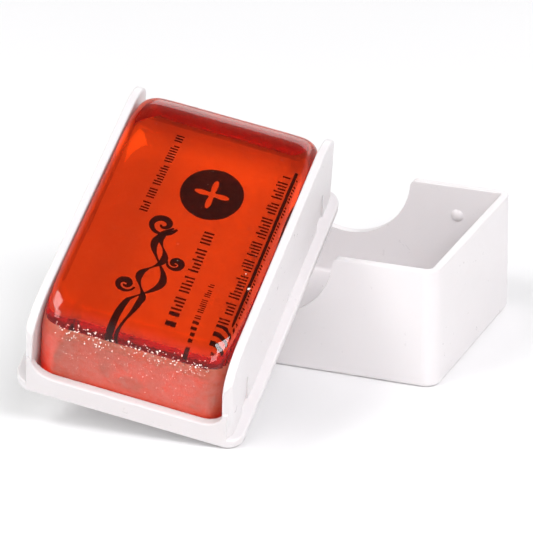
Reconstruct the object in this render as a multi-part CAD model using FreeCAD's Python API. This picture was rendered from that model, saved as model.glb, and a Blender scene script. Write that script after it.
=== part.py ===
"""Cast rosin cake in a two-piece push-fit box, shown with the tray lifted off its cover.

The cover stands on its closed face with its open side up.  The tray, which holds the
printed label and the cake, leans on the front rim of the cover with one corner on the
table.  Millimetres, +Z up, origin at the centre of the cover's closed face.
"""
import FreeCAD
import Part
import math
import os

Vec = FreeCAD.Vector

# ---- cover (open box standing on its closed face) ----
COVER_LENGTH = 60.0
COVER_DEPTH = 39.5
COVER_HEIGHT = 21.3
COVER_WALL = 1.5
COVER_CORNER_R = 2.6
COVER_FACE_EDGE_R = 0.8
COVER_RIM_EDGE_R = 0.3
COVER_INNER_FLOOR_R = 0.8

# ---- thumb notches in the rim of both long walls ----
NOTCH_R = 11.5
NOTCH_SHOULDER_R = 1.2

# ---- snap bumps inside the long walls of the cover ----
SNAP_X = 20.3
SNAP_BELOW_RIM = 5.5
SNAP_PROUD = 0.5
SNAP_FOOT_R = 1.15

# ---- tray (base plate with a tub that has tall sides and low ends) ----
BASE_THICK = 2.0
BASE_CORNER_R = 3.0
BASE_EDGE_R = 0.35
FIT_GAP = 0.25
END_PLAY = 0.3
TUB_WALL = 1.5
TUB_RIM_Z = 18.8
TUB_END_Z = 4.8
END_OPENING_R = 4.0
TUB_CORNER_R = 2.4
TUB_SHOULDER_RUN = 7.5
TUB_SHOULDER_DROP = 5.0
TUB_RIM_EDGE_R = 0.35
TUB_DRAFT_DEG = 1.5
POCKET_WIDTH = 3.2
POCKET_TOP_Z = 8.7
POCKET_DEPTH = 0.4
POCKET_CORNER_R = 1.0

# ---- label sheet and cake ----
LABEL_THICK = 0.15
LABEL_MARGIN = 0.6
LABEL_CORNER_R = 1.2
SLIP = 0.05
CAKE_PROUD = 0.7
CAKE_SHOULDER_RUN = 8.0
CAKE_SHOULDER_DROP = 5.0
CAKE_CORNER_R = 3.6

# ---- where the lifted-off tray leans ----
TRAY_YAW = 91.5
TRAY_PITCH = 26.4
TRAY_ROLL = 12.6
TRAY_CENTRE = Vec(-11.75, -30.55, 16.01)

# ---- derived sizes ----
TRAY_LENGTH = COVER_LENGTH - 2 * (COVER_WALL + END_PLAY)
TRAY_WIDTH = COVER_DEPTH
TUB_WIDTH = COVER_DEPTH - 2 * (COVER_WALL + FIT_GAP)
WELL_LENGTH = TRAY_LENGTH - 2 * TUB_WALL
WELL_WIDTH = TUB_WIDTH - 2 * TUB_WALL


def rounded_block(length, width, z0, z1, corner_r):
    """Upright block centred on the Z axis with rounded vertical edges."""
    block = Part.makeBox(length, width, z1 - z0, Vec(-length / 2, -width / 2, z0))
    return block.makeFillet(corner_r, upright_edges(block))


def upright_edges(shape):
    """Straight edges of a shape that run along Z."""
    return [e for e in shape.Edges if e.BoundBox.XLength < 1e-6 and e.BoundBox.YLength < 1e-6]


def edges_at_height(shape, z):
    """Edges that lie wholly in the horizontal plane at height z."""
    return [e for e in shape.Edges
            if abs(e.BoundBox.ZMin - z) < 1e-6 and abs(e.BoundBox.ZMax - z) < 1e-6]


def shoulder_arc(corner_x, y, top, run, drop):
    """Quarter of an ellipse from the end face up to the flat top, at one end of a long side."""
    inward = -math.copysign(run, corner_x)
    centre = Vec(corner_x + inward, y, top - drop)
    low = Vec(corner_x, y, top - drop)
    high = Vec(corner_x + inward, y, top)
    return Part.ArcOfEllipse(Part.Ellipse(low, high, centre), 0, math.pi / 2).toShape()


def shouldered_prism(half_length, half_width, z0, z1, run, drop):
    """Block whose upper end edges are rounded over by quarter-ellipses."""
    x0, x1 = -half_length, half_length
    y = -half_width
    side = [
        Part.makeLine(Vec(x0, y, z0), Vec(x1, y, z0)),
        Part.makeLine(Vec(x1, y, z0), Vec(x1, y, z1 - drop)),
        shoulder_arc(x1, y, z1, run, drop),
        Part.makeLine(Vec(x1 - run, y, z1), Vec(x0 + run, y, z1)),
        shoulder_arc(x0, y, z1, run, drop),
        Part.makeLine(Vec(x0, y, z1 - drop), Vec(x0, y, z0)),
    ]
    return Part.Face(Part.Wire(Part.sortEdges(side)[0])).extrude(Vec(0, 2 * half_width, 0))


def notch_cutter():
    """Bar through both long walls: a half-round with softened shoulders at the rim."""
    r, s = NOTCH_R, NOTCH_SHOULDER_R
    y = -COVER_DEPTH
    rim = COVER_HEIGHT
    # The shoulder arc is tangent to the rim line and to the half-round.
    centre_x = math.sqrt((r + s) ** 2 - s ** 2)
    touch_x = centre_x * r / (r + s)
    touch_z = rim - s * r / (r + s)
    lean = math.atan2(centre_x, s) / 2
    arc_x = centre_x - s * math.sin(lean)
    arc_z = rim - s + s * math.cos(lean)
    above = rim + NOTCH_R
    outline = [
        Part.Arc(Vec(-touch_x, y, touch_z), Vec(0, y, rim - r), Vec(touch_x, y, touch_z)).toShape(),
        Part.Arc(Vec(touch_x, y, touch_z), Vec(arc_x, y, arc_z), Vec(centre_x, y, rim)).toShape(),
        Part.makeLine(Vec(centre_x, y, rim), Vec(centre_x, y, above)),
        Part.makeLine(Vec(centre_x, y, above), Vec(-centre_x, y, above)),
        Part.makeLine(Vec(-centre_x, y, above), Vec(-centre_x, y, rim)),
        Part.Arc(Vec(-centre_x, y, rim), Vec(-arc_x, y, arc_z), Vec(-touch_x, y, touch_z)).toShape(),
    ]
    return Part.Face(Part.Wire(outline)).extrude(Vec(0, 2 * COVER_DEPTH, 0))


def snap_bump(x, side):
    """Low spherical button that stands SNAP_PROUD inside a long wall of the cover."""
    ball_r = (SNAP_FOOT_R ** 2 + SNAP_PROUD ** 2) / (2 * SNAP_PROUD)
    wall_y = COVER_DEPTH / 2 - COVER_WALL
    centre = Vec(x, side * (wall_y - SNAP_PROUD + ball_r), COVER_HEIGHT - SNAP_BELOW_RIM)
    ball = Part.makeSphere(ball_r, centre)
    root = COVER_WALL / 2
    keep = Part.makeBox(4 * ball_r, SNAP_PROUD + root, 4 * ball_r)
    y0 = wall_y - SNAP_PROUD if side > 0 else -wall_y - root
    keep.translate(Vec(x - 2 * ball_r, y0, centre.z - 2 * ball_r))
    return ball.common(keep)


def make_cover():
    """Open box with a closed bottom face, two thumb notches and four snap bumps."""
    outer = rounded_block(COVER_LENGTH, COVER_DEPTH, 0, COVER_HEIGHT, COVER_CORNER_R)
    outer = outer.makeFillet(COVER_FACE_EDGE_R, edges_at_height(outer, 0))
    inner = rounded_block(COVER_LENGTH - 2 * COVER_WALL, COVER_DEPTH - 2 * COVER_WALL,
                          COVER_WALL, COVER_HEIGHT + COVER_WALL, COVER_CORNER_R - COVER_WALL)
    inner = inner.makeFillet(COVER_INNER_FLOOR_R, edges_at_height(inner, COVER_WALL))
    shell = outer.cut(inner)
    shell = shell.makeFillet(COVER_RIM_EDGE_R, edges_at_height(shell, COVER_HEIGHT))
    shell = shell.cut(notch_cutter())
    bumps = [snap_bump(x, side) for x in (-SNAP_X, SNAP_X) for side in (-1, 1)]
    return shell.fuse(bumps).removeSplitter()


def pocket(x, side):
    """Shallow rest on the outside of a tub wall that a snap bump drops into."""
    depth = POCKET_DEPTH
    y0 = TUB_WIDTH / 2 - depth if side > 0 else -TUB_WIDTH / 2 - depth
    block = Part.makeBox(POCKET_WIDTH, 2 * depth, POCKET_TOP_Z - BASE_THICK,
                         Vec(x - POCKET_WIDTH / 2, y0, BASE_THICK))
    top = [e for e in block.Edges
           if e.BoundBox.YLength > 1e-6 and e.BoundBox.ZMin > POCKET_TOP_Z - 1e-3]
    top = [e for e in top if e.BoundBox.XLength < 1e-6]
    return block.makeFillet(POCKET_CORNER_R, top)


def side_wall(side):
    """Tall long wall of the tub with rounded-over top and shoulders."""
    wall = shouldered_prism(TRAY_LENGTH / 2, TUB_WALL / 2, BASE_THICK / 2, TUB_RIM_Z,
                            TUB_SHOULDER_RUN, TUB_SHOULDER_DROP)
    rim = [e for e in wall.Edges
           if e.BoundBox.YLength < 1e-6 and e.BoundBox.ZMin > TUB_RIM_Z - TUB_SHOULDER_DROP - 1e-3]
    wall = wall.makeFillet(TUB_RIM_EDGE_R, rim)
    wall.translate(Vec(0, side * (TUB_WIDTH - TUB_WALL) / 2, 0))
    wall.rotate(Vec(0, side * TUB_WIDTH / 2, BASE_THICK), Vec(1, 0, 0), side * TUB_DRAFT_DEG)
    return wall


def end_wall(side):
    """Low end wall of the tub; its opening runs up into the side walls with rounded corners."""
    reach = WELL_WIDTH + TUB_WALL
    top = TUB_END_Z + END_OPENING_R
    wall = Part.makeBox(TUB_WALL, reach, top - BASE_THICK / 2, Vec(-TUB_WALL / 2, -reach / 2, BASE_THICK / 2))
    opening = Part.makeBox(2 * TUB_WALL, WELL_WIDTH, 2 * top, Vec(-TUB_WALL, -WELL_WIDTH / 2, TUB_END_Z))
    sill = [e for e in edges_at_height(opening, TUB_END_Z) if e.BoundBox.YLength < 1e-6]
    opening = opening.makeFillet(END_OPENING_R, sill)
    wall = wall.cut(opening)
    brink = [e for e in edges_at_height(wall, TUB_END_Z) if e.BoundBox.XLength < 1e-6]
    wall = wall.makeFillet(TUB_RIM_EDGE_R, brink)
    wall.translate(Vec(side * (TRAY_LENGTH - TUB_WALL) / 2, 0, 0))
    return wall


def make_tray():
    """Base plate and tub as one moulding."""
    plate = rounded_block(TRAY_LENGTH, TRAY_WIDTH, 0, BASE_THICK, BASE_CORNER_R)
    rims = edges_at_height(plate, 0) + edges_at_height(plate, BASE_THICK)
    plate = plate.makeFillet(BASE_EDGE_R, rims)
    plan = rounded_block(TRAY_LENGTH, TUB_WIDTH, 0, TUB_RIM_Z + 1, TUB_CORNER_R)
    walls = [side_wall(side).common(plan) for side in (-1, 1)]
    walls += [end_wall(side) for side in (-1, 1)]
    body = plate.fuse(walls).removeSplitter()
    for x in (-SNAP_X, SNAP_X):
        for side in (-1, 1):
            body = body.cut(pocket(x, side))
    return body


def make_label():
    """Thin sheet that lies on the floor of the tub."""
    return rounded_block(WELL_LENGTH - 2 * LABEL_MARGIN, WELL_WIDTH - 2 * LABEL_MARGIN,
                         BASE_THICK, BASE_THICK + LABEL_THICK, LABEL_CORNER_R)


def make_cake():
    """Cast block with quarter-round ends, a little proud of the tub rim."""
    top = TUB_RIM_Z + CAKE_PROUD
    floor = BASE_THICK + LABEL_THICK + SLIP
    half_length = WELL_LENGTH / 2 - SLIP
    half_width = WELL_WIDTH / 2 - SLIP
    cake = shouldered_prism(half_length, half_width, floor, top, CAKE_SHOULDER_RUN,
                            CAKE_SHOULDER_DROP)
    plan = rounded_block(2 * half_length, 2 * half_width, floor, top + 1, CAKE_CORNER_R)
    cake = cake.common(plan)
    for side in (-1, 1):
        y0 = half_width if side > 0 else -half_width - top
        slope = Part.makeBox(4 * half_length, top, 2 * top, Vec(-2 * half_length, y0, 0))
        slope.rotate(Vec(0, side * half_width, BASE_THICK), Vec(1, 0, 0), side * TUB_DRAFT_DEG)
        cake = cake.cut(slope)
    return cake


def leaning(shape):
    """Put a piece of the tray from its own frame into its leaning place."""
    turn = FreeCAD.Rotation(Vec(0, 0, 1), TRAY_YAW)
    tilt = FreeCAD.Rotation(Vec(0, 1, 0), -TRAY_PITCH)
    roll = FreeCAD.Rotation(Vec(1, 0, 0), TRAY_ROLL)
    placed = shape.copy()
    placed.Placement = FreeCAD.Placement(TRAY_CENTRE, turn.multiply(tilt).multiply(roll))
    return placed


NODES = {
    "cover": make_cover(),
    "tray": leaning(make_tray()),
    "label_sheet": leaning(make_label()),
    "rosin_cake": leaning(make_cake()),
}

os.makedirs("parts", exist_ok=True)
for name, shape in NODES.items():
    shape.exportStep("parts/" + name + ".step")
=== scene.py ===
"""Looks for the boxed rosin cake: white moulded plastic and a clear orange-red cake over a printed sheet."""
import math
import random

import bmesh
import bpy
from mathutils import Matrix, Vector, noise


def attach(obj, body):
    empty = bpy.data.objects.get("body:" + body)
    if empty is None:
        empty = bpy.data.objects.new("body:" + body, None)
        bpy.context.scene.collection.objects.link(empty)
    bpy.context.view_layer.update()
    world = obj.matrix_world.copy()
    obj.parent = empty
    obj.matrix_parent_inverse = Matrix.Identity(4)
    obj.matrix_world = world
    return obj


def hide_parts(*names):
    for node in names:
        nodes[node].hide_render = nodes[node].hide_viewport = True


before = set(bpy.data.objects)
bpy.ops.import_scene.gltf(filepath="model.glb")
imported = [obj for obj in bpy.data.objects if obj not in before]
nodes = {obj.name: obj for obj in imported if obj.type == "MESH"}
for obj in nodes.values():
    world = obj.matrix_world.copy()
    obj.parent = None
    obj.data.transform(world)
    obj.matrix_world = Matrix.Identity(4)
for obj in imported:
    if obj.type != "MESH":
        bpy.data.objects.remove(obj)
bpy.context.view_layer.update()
MM = 0.001

# ---- the tray's own frame, as the CAD places it ----
TRAY_TURN = (Matrix.Rotation(math.radians(91.5), 4, "Z")
             @ Matrix.Rotation(math.radians(-26.4), 4, "Y")
             @ Matrix.Rotation(math.radians(12.6), 4, "X"))
TRAY_PLACE = Matrix.Translation(Vector((-11.75, -30.55, 16.01)) * MM) @ TRAY_TURN @ Matrix.Scale(MM, 4)

# ---- cake and label sizes in the tray's frame (mm) ----
CAKE_HALF_L, CAKE_HALF_W = 26.65, 16.45
CAKE_Z0, CAKE_TOP = 2.19, 19.5
SHOULDER_RUN, SHOULDER_DROP = 8.0, 5.0
CORNER_R, EDGE_R = 3.7, 1.4
DRAFT = math.tan(math.radians(1.5))
CROWN, CROWN_FROM = 0.45, 9.0
FOOT_BEVEL, FOOT_LIFT = 0.35, 0.1
SWELL, SWELL_SCALE = 0.05, 0.09
SINK = 0.02
FROST_Z = 16.6
INK_Z = 2.163
INK_THICK = 0.012

# ---- rosin: colour and density of the absorption, and its refraction ----
ABSORPTION_COLOUR, ABSORPTION_DENSITY = (0.9985, 0.6, 0.02, 1), 170.0
ROSIN_IOR = 1.52

# ---- base colours: the moulded plastic, and the rosin's clear and frosted skin between two tones ----
PLASTIC_TINT = (0.78, 0.75, 0.755)
CLEAR_TONES = ((1.0, 0.9, 0.8), (1.0, 0.93, 0.84))
FROSTED_TONES = ((0.92, 0.24, 0.1), (1.0, 0.43, 0.29))

# ---- studio (m, W): name, place, size, power, colour ----
TARGET = Vector((-0.0086, 0.0, 0.00895))
SOFTBOXES = (
    ("softbox_left", (-0.45, -0.42, 0.75), (0.4, 0.4), 3.2, (1, 1, 1)),
    ("softbox_right", (0.5, -0.4, 0.75), (0.4, 0.4), 4.9, (0.98, 0.96, 1.0)),
    ("softbox_front_left", (-0.36, -0.76, 0.55), (0.3, 0.3), 1.2, (1, 1, 1)),
    ("softbox_front_right", (0.45, -0.77, 0.47), (0.3, 0.3), 1.2, (1, 1, 1)),
    ("softbox_side", (0.95, 0.1, 0.35), (0.4, 0.4), 0.4, (1, 1, 1)),
    ("softbox_back", (0.05, 0.85, 0.5), (0.9, 0.5), 2.2, (1, 1, 1)),
)
AZIMUTH, ELEVATION, ROLL = (math.radians(a) for a in (22.24, 23.0, -0.56))
DISTANCE = 0.687
LENS_MM, SENSOR_MM = 264.6, 36


# ---------------------------------------------------------------- mesh helpers
def new_piece(name, bm, material, smooth=None):
    """Turn a bmesh into an object with one material; smooth is the sharp-edge angle in degrees."""
    mesh = bpy.data.meshes.new(name)
    bm.to_mesh(mesh)
    bm.free()
    piece = bpy.data.objects.new(name, mesh)
    bpy.context.scene.collection.objects.link(piece)
    mesh.materials.append(material)
    if smooth is not None:
        mesh.shade_smooth()
        mesh.set_sharp_from_angle(angle=math.radians(smooth))
    return piece


def on_tray(piece):
    """Put a piece modelled in the tray's frame into place, and let it ride on the tray."""
    piece.data.transform(TRAY_PLACE)
    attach(piece, "tray")
    return piece


def rounded(distance, radius):
    """Inset of a quarter-round of a radius, at a distance in from the outer face."""
    if distance >= radius:
        return 0.0
    return radius - math.sqrt(radius ** 2 - (radius - distance) ** 2)


# ---------------------------------------------------------------- node helpers
def new_material(name):
    """Material with its node tree and its Principled shader."""
    material = bpy.data.materials.new(name)
    material.use_nodes = True
    tree = material.node_tree
    return material, tree, tree.nodes["Principled BSDF"]


def noise_tex(tree, scale, detail=4.0, roughness=0.55, distortion=0.0):
    """Noise in object coordinates."""
    coords = tree.nodes.new("ShaderNodeTexCoord")
    tex = tree.nodes.new("ShaderNodeTexNoise")
    tex.inputs["Scale"].default_value = scale
    tex.inputs["Detail"].default_value = detail
    tex.inputs["Roughness"].default_value = roughness
    tex.inputs["Distortion"].default_value = distortion
    tree.links.new(coords.outputs["Object"], tex.inputs["Vector"])
    return tex


def ramp(tree, source, stops):
    """Colour ramp fed by a value; stops are (place, colour) from low to high."""
    node = tree.nodes.new("ShaderNodeValToRGB")
    node.color_ramp.elements[0].position = stops[0][0]
    node.color_ramp.elements[0].color = (*stops[0][1], 1)
    node.color_ramp.elements[1].position = stops[-1][0]
    node.color_ramp.elements[1].color = (*stops[-1][1], 1)
    for place, colour in stops[1:-1]:
        node.color_ramp.elements.new(place).color = (*colour, 1)
    tree.links.new(source, node.inputs["Fac"])
    return node


def grey(value):
    return (value, value, value)


def bump(tree, shader, source, strength, distance):
    """Bump of a shader by a height source."""
    node = tree.nodes.new("ShaderNodeBump")
    node.inputs["Strength"].default_value = strength
    node.inputs["Distance"].default_value = distance
    tree.links.new(source, node.inputs["Height"])
    tree.links.new(node.outputs["Normal"], shader.inputs["Normal"])
    return node


# ---------------------------------------------------------------- materials
def white_plastic(name, tint, scale_shift):
    """Moulded white plastic with faint flow marks, fine grain and a few rubbed spots."""
    material, tree, shader = new_material(name)
    cloud = noise_tex(tree, 38 + scale_shift, 3.0)
    colour = ramp(tree, cloud.outputs["Fac"], [(0.3, tuple(c * 0.975 for c in tint)), (0.7, tint)])
    rub = noise_tex(tree, 420 + scale_shift, 6.0, 0.7, 0.6)
    mark = ramp(tree, rub.outputs["Fac"], [(0.68, grey(0.0)), (0.78, grey(1.0))])
    mix = tree.nodes.new("ShaderNodeMix")
    mix.data_type = "RGBA"
    tree.links.new(mark.outputs["Color"], mix.inputs["Factor"])
    tree.links.new(colour.outputs["Color"], mix.inputs["A"])
    mix.inputs["B"].default_value = (tint[0] * 0.93, tint[1] * 0.91, tint[2] * 0.89, 1)
    tree.links.new(mix.outputs["Result"], shader.inputs["Base Color"])
    sheen = ramp(tree, rub.outputs["Fac"], [(0.3, grey(0.26)), (0.75, grey(0.42))])
    tree.links.new(sheen.outputs["Color"], shader.inputs["Roughness"])
    shader.inputs["Subsurface Weight"].default_value = 0.12
    shader.inputs["Subsurface Radius"].default_value = (0.0012, 0.001, 0.0009)
    shader.inputs["Subsurface Scale"].default_value = 1.0
    shader.inputs["IOR"].default_value = 1.55
    fine = noise_tex(tree, 2600, 2.0)
    bump(tree, shader, fine.outputs["Fac"], 0.08, 0.00004)
    return material


def rosin(name, tones, clear, low, high, skin_scale, skin_bump):
    """Cast rosin: refracts, takes out green and blue with depth; low and high bound its roughness."""
    material, tree, shader = new_material(name)
    skin = noise_tex(tree, skin_scale, 4.0, 0.65)
    colour = ramp(tree, skin.outputs["Fac"], [(0.35, tones[0]), (0.68, tones[1])])
    tree.links.new(colour.outputs["Color"], shader.inputs["Base Color"])
    rough = ramp(tree, skin.outputs["Fac"], [(0.35, grey(low)), (0.7, grey(high))])
    tree.links.new(rough.outputs["Color"], shader.inputs["Roughness"])
    shader.inputs["Transmission Weight"].default_value = clear
    shader.inputs["IOR"].default_value = ROSIN_IOR
    bump(tree, shader, skin.outputs["Fac"], skin_bump, 0.0002)
    depth = tree.nodes.new("ShaderNodeVolumeAbsorption")
    depth.inputs["Color"].default_value = ABSORPTION_COLOUR
    depth.inputs["Density"].default_value = ABSORPTION_DENSITY
    tree.links.new(depth.outputs["Volume"], tree.nodes["Material Output"].inputs["Volume"])
    return material


def paper():
    """Thin white sheet with faint fibres."""
    material, tree, shader = new_material("label_sheet_paper")
    fibre = noise_tex(tree, 1500, 5.0, 0.7)
    colour = ramp(tree, fibre.outputs["Fac"], [(0.3, (0.93, 0.88, 0.83)), (0.7, (0.97, 0.95, 0.92))])
    tree.links.new(colour.outputs["Color"], shader.inputs["Base Color"])
    shader.inputs["Roughness"].default_value = 0.7
    bump(tree, shader, fibre.outputs["Fac"], 0.1, 0.00003)
    return material


def ink():
    """Dark printing ink, a little uneven in cover."""
    material, tree, shader = new_material("printing_ink")
    cover = noise_tex(tree, 900, 4.0, 0.7)
    colour = ramp(tree, cover.outputs["Fac"], [(0.3, (0.02, 0.014, 0.014)), (0.75, (0.05, 0.035, 0.032))])
    tree.links.new(colour.outputs["Color"], shader.inputs["Base Color"])
    shader.inputs["Roughness"].default_value = 0.5
    return material


def dust():
    """Pale rosin powder and chips."""
    material, tree, shader = new_material("rosin_dust")
    tone = noise_tex(tree, 1200, 2.0)
    colour = ramp(tree, tone.outputs["Fac"], [(0.35, (0.95, 0.72, 0.62)), (0.65, (1.0, 0.94, 0.88))])
    tree.links.new(colour.outputs["Color"], shader.inputs["Base Color"])
    shader.inputs["Roughness"].default_value = 0.3
    return material


# ---------------------------------------------------------------- cake
def cake_profile(half_length, top):
    """Side outline of the cake at one station, from the near foot over the top to the far foot."""
    knee = top - SHOULDER_DROP
    flat = half_length - SHOULDER_RUN
    wall_foot = CAKE_Z0 + FOOT_BEVEL
    wall = [wall_foot + (knee - wall_foot) * k / 10 for k in range(10)]
    arc = [(math.cos(a), math.sin(a)) for a in (math.pi / 2 * k / 32 for k in range(33))]
    near = [(-half_length + FOOT_BEVEL, CAKE_Z0), (-half_length + FOOT_LIFT, CAKE_Z0 + FOOT_LIFT)]
    near += [(-half_length, z) for z in wall]
    near += [(-half_length + SHOULDER_RUN * (1 - c), knee + SHOULDER_DROP * s) for c, s in arc]
    top_run = [(-flat + 2 * flat * k / 30, top) for k in range(1, 30)]
    return near + top_run + [(-x, z) for x, z in reversed(near)]


def make_cake(clear, frosted):
    """Swept block with rounded-over ends, rounded corners, leaning sides and a softly crowned top.

    Its sides and both ends below FROST_Z carry the frosted skin.
    """
    edge = [CORNER_R * (1 - math.cos(math.pi / 2 * k / 18)) for k in range(19)]
    inner = CAKE_HALF_W - CORNER_R
    ys = [-CAKE_HALF_W + e for e in edge]
    ys += [-inner + 2 * inner * k / 24 for k in range(1, 24)]
    ys += [CAKE_HALF_W - e for e in reversed(edge)]
    bm = bmesh.new()
    rings = []
    for y in ys:
        inward = CAKE_HALF_W - abs(y)
        half = CAKE_HALF_L - rounded(inward, CORNER_R)
        crown = CROWN * max(0.0, (abs(y) - CROWN_FROM) / (CAKE_HALF_W - CROWN_FROM)) ** 2
        ring = []
        for x, z in cake_profile(half, CAKE_TOP - rounded(inward, EDGE_R) - crown):
            height = (z - CAKE_Z0) / (CAKE_TOP - CAKE_Z0)
            swell = noise.noise(Vector((x * SWELL_SCALE, y * SWELL_SCALE, 3.1))) * SWELL * height ** 2
            lean = 1 - DRAFT * (z - CAKE_Z0) / CAKE_HALF_W
            ring.append(bm.verts.new((x, y * lean, z + swell - SINK)))
        rings.append(ring)
    count = len(rings[0])
    for a, b in zip(rings, rings[1:]):
        for k in range(count):
            n = (k + 1) % count
            bm.faces.new((a[k], a[n], b[n], b[k]))
    bm.faces.new(rings[0])
    bm.faces.new(list(reversed(rings[-1])))
    bmesh.ops.recalc_face_normals(bm, faces=bm.faces)
    piece = new_piece("cake_block", bm, clear, smooth=40)
    piece.data.materials.append(frosted)
    for face in piece.data.polygons:
        end = abs(face.center.x) > CAKE_HALF_L - SHOULDER_RUN and face.center.z < FROST_Z
        side = abs(face.normal.y) > 0.97
        if (end or side) and face.normal.z > -0.9:
            face.material_index = 1
    return on_tray(piece)


# ---------------------------------------------------------------- printed ornament
def flat_outline(bm, points):
    """Thin closed slab over an outline in the label's plane."""
    low = [bm.verts.new((x, y, INK_Z)) for x, y in points]
    high = [bm.verts.new((x, y, INK_Z + INK_THICK)) for x, y in points]
    n = len(points)
    bm.faces.new(high)
    bm.faces.new(list(reversed(low)))
    for k in range(n):
        j = (k + 1) % n
        bm.faces.new((low[k], low[j], high[j], high[k]))


def ribbon(bm, path, width):
    """Flat slab along a path, as wide at each point as width(t) says."""
    left, right = [], []
    n = len(path)
    for k, p in enumerate(path):
        ahead = path[min(k + 1, n - 1)] - path[max(k - 1, 0)]
        side = Vector((-ahead.y, ahead.x)).normalized() * width(k / (n - 1)) / 2
        left.append(p + side)
        right.append(p - side)
    for k in range(n - 1):
        flat_outline(bm, [tuple(right[k]), tuple(right[k + 1]), tuple(left[k + 1]), tuple(left[k])])


def stripe_path():
    """Long line of the label that bends gently outwards at its near end."""
    path = []
    for k in range(41):
        x = 23.5 - 42.0 * k / 40
        path.append(Vector((x, -12.0 - 0.8 * max(0.0, (-9.0 - x) / 9.5) ** 2)))
    return path


def tick_row(bm, start, end, height, rng):
    """Row of upright ticks in groups, filling a line of the label."""
    a, b = Vector(start), Vector(end)
    along = (b - a).normalized()
    up = Vector((-along.y, along.x))
    length = (b - a).length
    at, run = 0.0, 0
    pitch = height * 0.42
    while at < length:
        if run == 0:
            run = rng.randint(4, 8)
            at += pitch * 1.1
        foot = a + along * at
        tall = height * rng.choice((1.0, 1.0, 0.72))
        ribbon(bm, [foot, foot + up * tall], lambda t: height * 0.19)
        at += pitch
        run -= 1


def disc(bm, centre, radius, hole):
    """Solid disc with a four-pointed hole, built as a ring of narrow slabs."""
    steps = 72
    c = Vector(centre)
    for k in range(steps):
        a0, a1 = (2 * math.pi * j / steps for j in (k, k + 1))
        inner = [hole * (0.22 + 0.78 * abs(math.cos(2 * a)) ** 4) for a in (a0, a1)]
        d0, d1 = Vector((math.cos(a0), math.sin(a0))), Vector((math.cos(a1), math.sin(a1)))
        flat_outline(bm, [tuple(c + d0 * inner[0]), tuple(c + d0 * radius),
                          tuple(c + d1 * radius), tuple(c + d1 * inner[1])])


def flourish(bm, start, end):
    """Pen-stroke scroll: waved lines with a spiral curl at each end, thick and thin by turns."""
    a, b = Vector(start), Vector(end)
    along = (b - a).normalized()
    up = Vector((-along.y, along.x))
    length = (b - a).length

    def place(u, v):
        return a + along * u + up * v

    for lift, waves, size in ((0.0, 1.5, 2.3), (0.6, 2.5, 1.2)):
        steps = [k / 80 for k in range(81)]
        swell = [place(length * t, lift + size * math.sin(2 * math.pi * waves * t)) for t in steps]
        ribbon(bm, swell, lambda t: 0.3 + 1.0 * math.sin(math.pi * t * waves * 2) ** 2)
    for u0, v0, turn, size in ((0.0, 0, 1, 3.0), (length, 0, -1, 2.6), (length * 0.38, 1.5, -1, 1.7),
                               (length * 0.7, -1.2, 1, 1.5)):
        curl = []
        for k in range(61):
            t = k / 60
            r = size * (1 - 0.86 * t)
            ang = turn * (math.pi / 2 + 2 * math.pi * 1.4 * t)
            curl.append(place(u0 + r * math.cos(ang) * 0.9, v0 - turn * size + r * math.sin(ang)))
        ribbon(bm, curl, lambda t: 0.35 + 0.85 * math.sin(math.pi * t) ** 2)


def make_print(material):
    """All of the generic printed ornament as one piece."""
    rng = random.Random(11)
    bm = bmesh.new()
    flourish(bm, (-17.5, 4.6), (5.0, 2.6))
    disc(bm, (14.1, -0.45), 5.4, 3.1)
    ribbon(bm, stripe_path(), lambda t: 0.95)
    tick_row(bm, (-21.0, -11.1), (22.0, -11.2), 1.6, rng)
    tick_row(bm, (-18.5, -3.5), (6.8, -3.6), 1.8, rng)
    tick_row(bm, (6.4, 8.6), (24.9, 7.9), 1.4, rng)
    tick_row(bm, (-13.9, -7.0), (-4.0, -7.0), 1.0, rng)
    bmesh.ops.recalc_face_normals(bm, faces=bm.faces)
    return on_tray(new_piece("label_ornament", bm, material))


# ---------------------------------------------------------------- dust and chips
def shoulder_point(turn, y):
    """Point and normal on the near shoulder; turn is 0 at the end face and 90 deg at the flat top."""
    c, s = math.cos(turn), math.sin(turn)
    point = Vector((-CAKE_HALF_L + SHOULDER_RUN * (1 - c), y, CAKE_TOP - SHOULDER_DROP * (1 - s)))
    normal = Vector((-c / SHOULDER_RUN, 0, s / SHOULDER_DROP)).normalized()
    return point, normal


def chip(bm, centre, normal, size, rng):
    """Irregular flake that lies on the surface."""
    turn = normal.to_track_quat("Z", "Y").to_matrix().to_4x4() @ Matrix.Rotation(rng.uniform(0, 6.28), 4, "Z")
    place = Matrix.Translation(centre + normal * size * 0.12) @ turn
    made = bmesh.ops.create_icosphere(bm, subdivisions=1, radius=size / 2, matrix=place)
    squash = Matrix.Diagonal((1.0, rng.uniform(0.5, 0.9), 0.35, 1.0))
    local = place @ squash @ place.inverted()
    for v in made["verts"]:
        v.co = local @ v.co + Vector([rng.uniform(-0.14, 0.14) * size for _ in range(3)])


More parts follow.
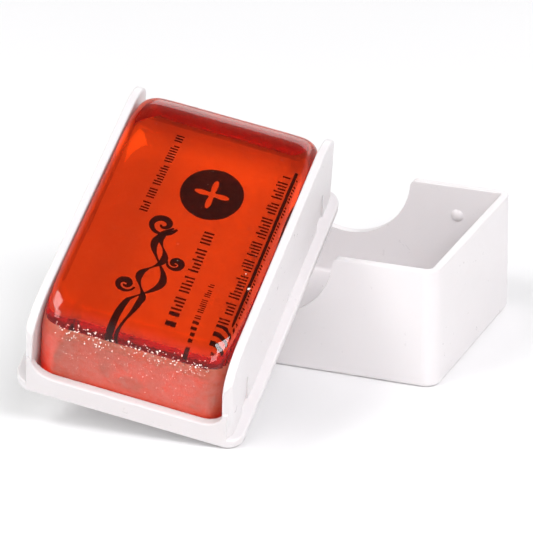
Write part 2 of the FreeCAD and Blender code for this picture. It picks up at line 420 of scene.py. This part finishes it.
def make_dust(material):
    """Powder on the near shoulder and end face, and a few chips on the top."""
    rng = random.Random(5)
    bm = bmesh.new()
    for _ in range(230):
        y = rng.uniform(-CAKE_HALF_W + 3.2, CAKE_HALF_W - 3.2)
        centre, normal = shoulder_point(math.radians(rng.triangular(0, 40, 26)), y)
        chip(bm, centre, normal, rng.choice((0.13, 0.16, 0.2, 0.26, 0.36)), rng)
    for _ in range(120):
        y = rng.uniform(-CAKE_HALF_W + 3.8, CAKE_HALF_W - 3.8)
        z = rng.triangular(5.2, 14.4, 13.0)
        chip(bm, Vector((-CAKE_HALF_L, y, z)), Vector((-1, 0, 0)), rng.choice((0.1, 0.14, 0.2)), rng)
    for _ in range(60):
        x = rng.uniform(-18, 18)
        y = rng.uniform(-14.5, 14.5)
        chip(bm, Vector((x, y, CAKE_TOP - 0.01)), Vector((0, 0, 1)), rng.choice((0.07, 0.09, 0.12)), rng)
    for x, y, size in ((-10.2, -14.6, 0.6), (-7.4, -13.2, 0.3)):
        chip(bm, Vector((x, y, CAKE_TOP)), Vector((0, 0, 1)), size, rng)
    return on_tray(new_piece("rosin_powder", bm, material))


# ---------------------------------------------------------------- build the object
for node_name, shift in (("cover", 0), ("tray", 9)):
    node = nodes[node_name]
    plastic = white_plastic(node_name + "_white_plastic", PLASTIC_TINT, shift)
    for slot in node.material_slots:
        slot.material = plastic
for slot in nodes["label_sheet"].material_slots:
    slot.material = paper()

cake = make_cake(rosin("rosin_clear", CLEAR_TONES, 1.0, 0.02, 0.06, 160, 0.08),
                 rosin("rosin_frosted", FROSTED_TONES, 0.74, 0.28, 0.5, 700, 0.7))
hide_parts("rosin_cake")
ornament = make_print(ink())
powder = make_dust(dust())


# ---------------------------------------------------------------- floor, light, camera
def make_floor():
    """Pale table top, which is not part of the object."""
    bm = bmesh.new()
    bmesh.ops.create_grid(bm, x_segments=8, y_segments=8, size=1.5)
    material, tree, shader = new_material("pale_floor")
    tone = noise_tex(tree, 6, 2.0)
    colour = ramp(tree, tone.outputs["Fac"], [(0.3, grey(0.9)), (0.7, grey(0.92))])
    tree.links.new(colour.outputs["Color"], shader.inputs["Base Color"])
    shader.inputs["Roughness"].default_value = 0.9
    shader.inputs["Specular IOR Level"].default_value = 0.1
    piece = new_piece("floor", bm, material)


def area_light(name, place, size, power, colour):
    """Softbox at a place, turned towards the target."""
    lamp = bpy.data.lights.new(name, "AREA")
    lamp.shape = "RECTANGLE"
    lamp.size, lamp.size_y = size
    lamp.energy = power
    lamp.color = colour
    holder = bpy.data.objects.new(name, lamp)
    holder.location = place
    holder.rotation_euler = (TARGET - Vector(place)).to_track_quat("-Z", "Y").to_euler()
    bpy.context.scene.collection.objects.link(holder)


def make_world():
    """Even light from the sides that fades to dark overhead, so the cake's top mirrors little."""
    world = bpy.data.worlds.new("studio")
    bpy.context.scene.world = world
    world.use_nodes = True
    sky = world.node_tree
    direction = sky.nodes.new("ShaderNodeTexCoord")
    split = sky.nodes.new("ShaderNodeSeparateXYZ")
    sky.links.new(direction.outputs["Generated"], split.inputs["Vector"])
    fade = ramp(sky, split.outputs["Z"], [(0.0, grey(0.66)), (0.6, grey(0.55)), (0.85, grey(0.13))])
    sky.links.new(fade.outputs["Color"], sky.nodes["Background"].inputs["Color"])
    sky.nodes["Background"].inputs["Strength"].default_value = 1.0


def make_camera():
    """Long lens that looks at the target from an azimuth and elevation, with a slight roll."""
    flat = math.cos(ELEVATION)
    toward = Vector((math.sin(AZIMUTH) * flat, -math.cos(AZIMUTH) * flat, math.sin(ELEVATION)))
    right = Vector((math.cos(AZIMUTH), math.sin(AZIMUTH), 0))
    up = toward.cross(right)
    tilt_right = right * math.cos(ROLL) + up * math.sin(ROLL)
    tilt_up = up * math.cos(ROLL) - right * math.sin(ROLL)
    data = bpy.data.cameras.new("camera")
    data.lens = LENS_MM
    data.sensor_width = SENSOR_MM
    data.clip_start = 0.01
    camera = bpy.data.objects.new("camera", data)
    pose = Matrix((tilt_right, tilt_up, toward)).transposed().to_4x4()
    camera.matrix_world = Matrix.Translation(TARGET + toward * DISTANCE) @ pose
    bpy.context.scene.collection.objects.link(camera)
    bpy.context.scene.camera = camera


make_floor()
for softbox in SOFTBOXES:
    area_light(*softbox)
make_world()
make_camera()
bpy.context.scene.view_settings.view_transform = "Standard"
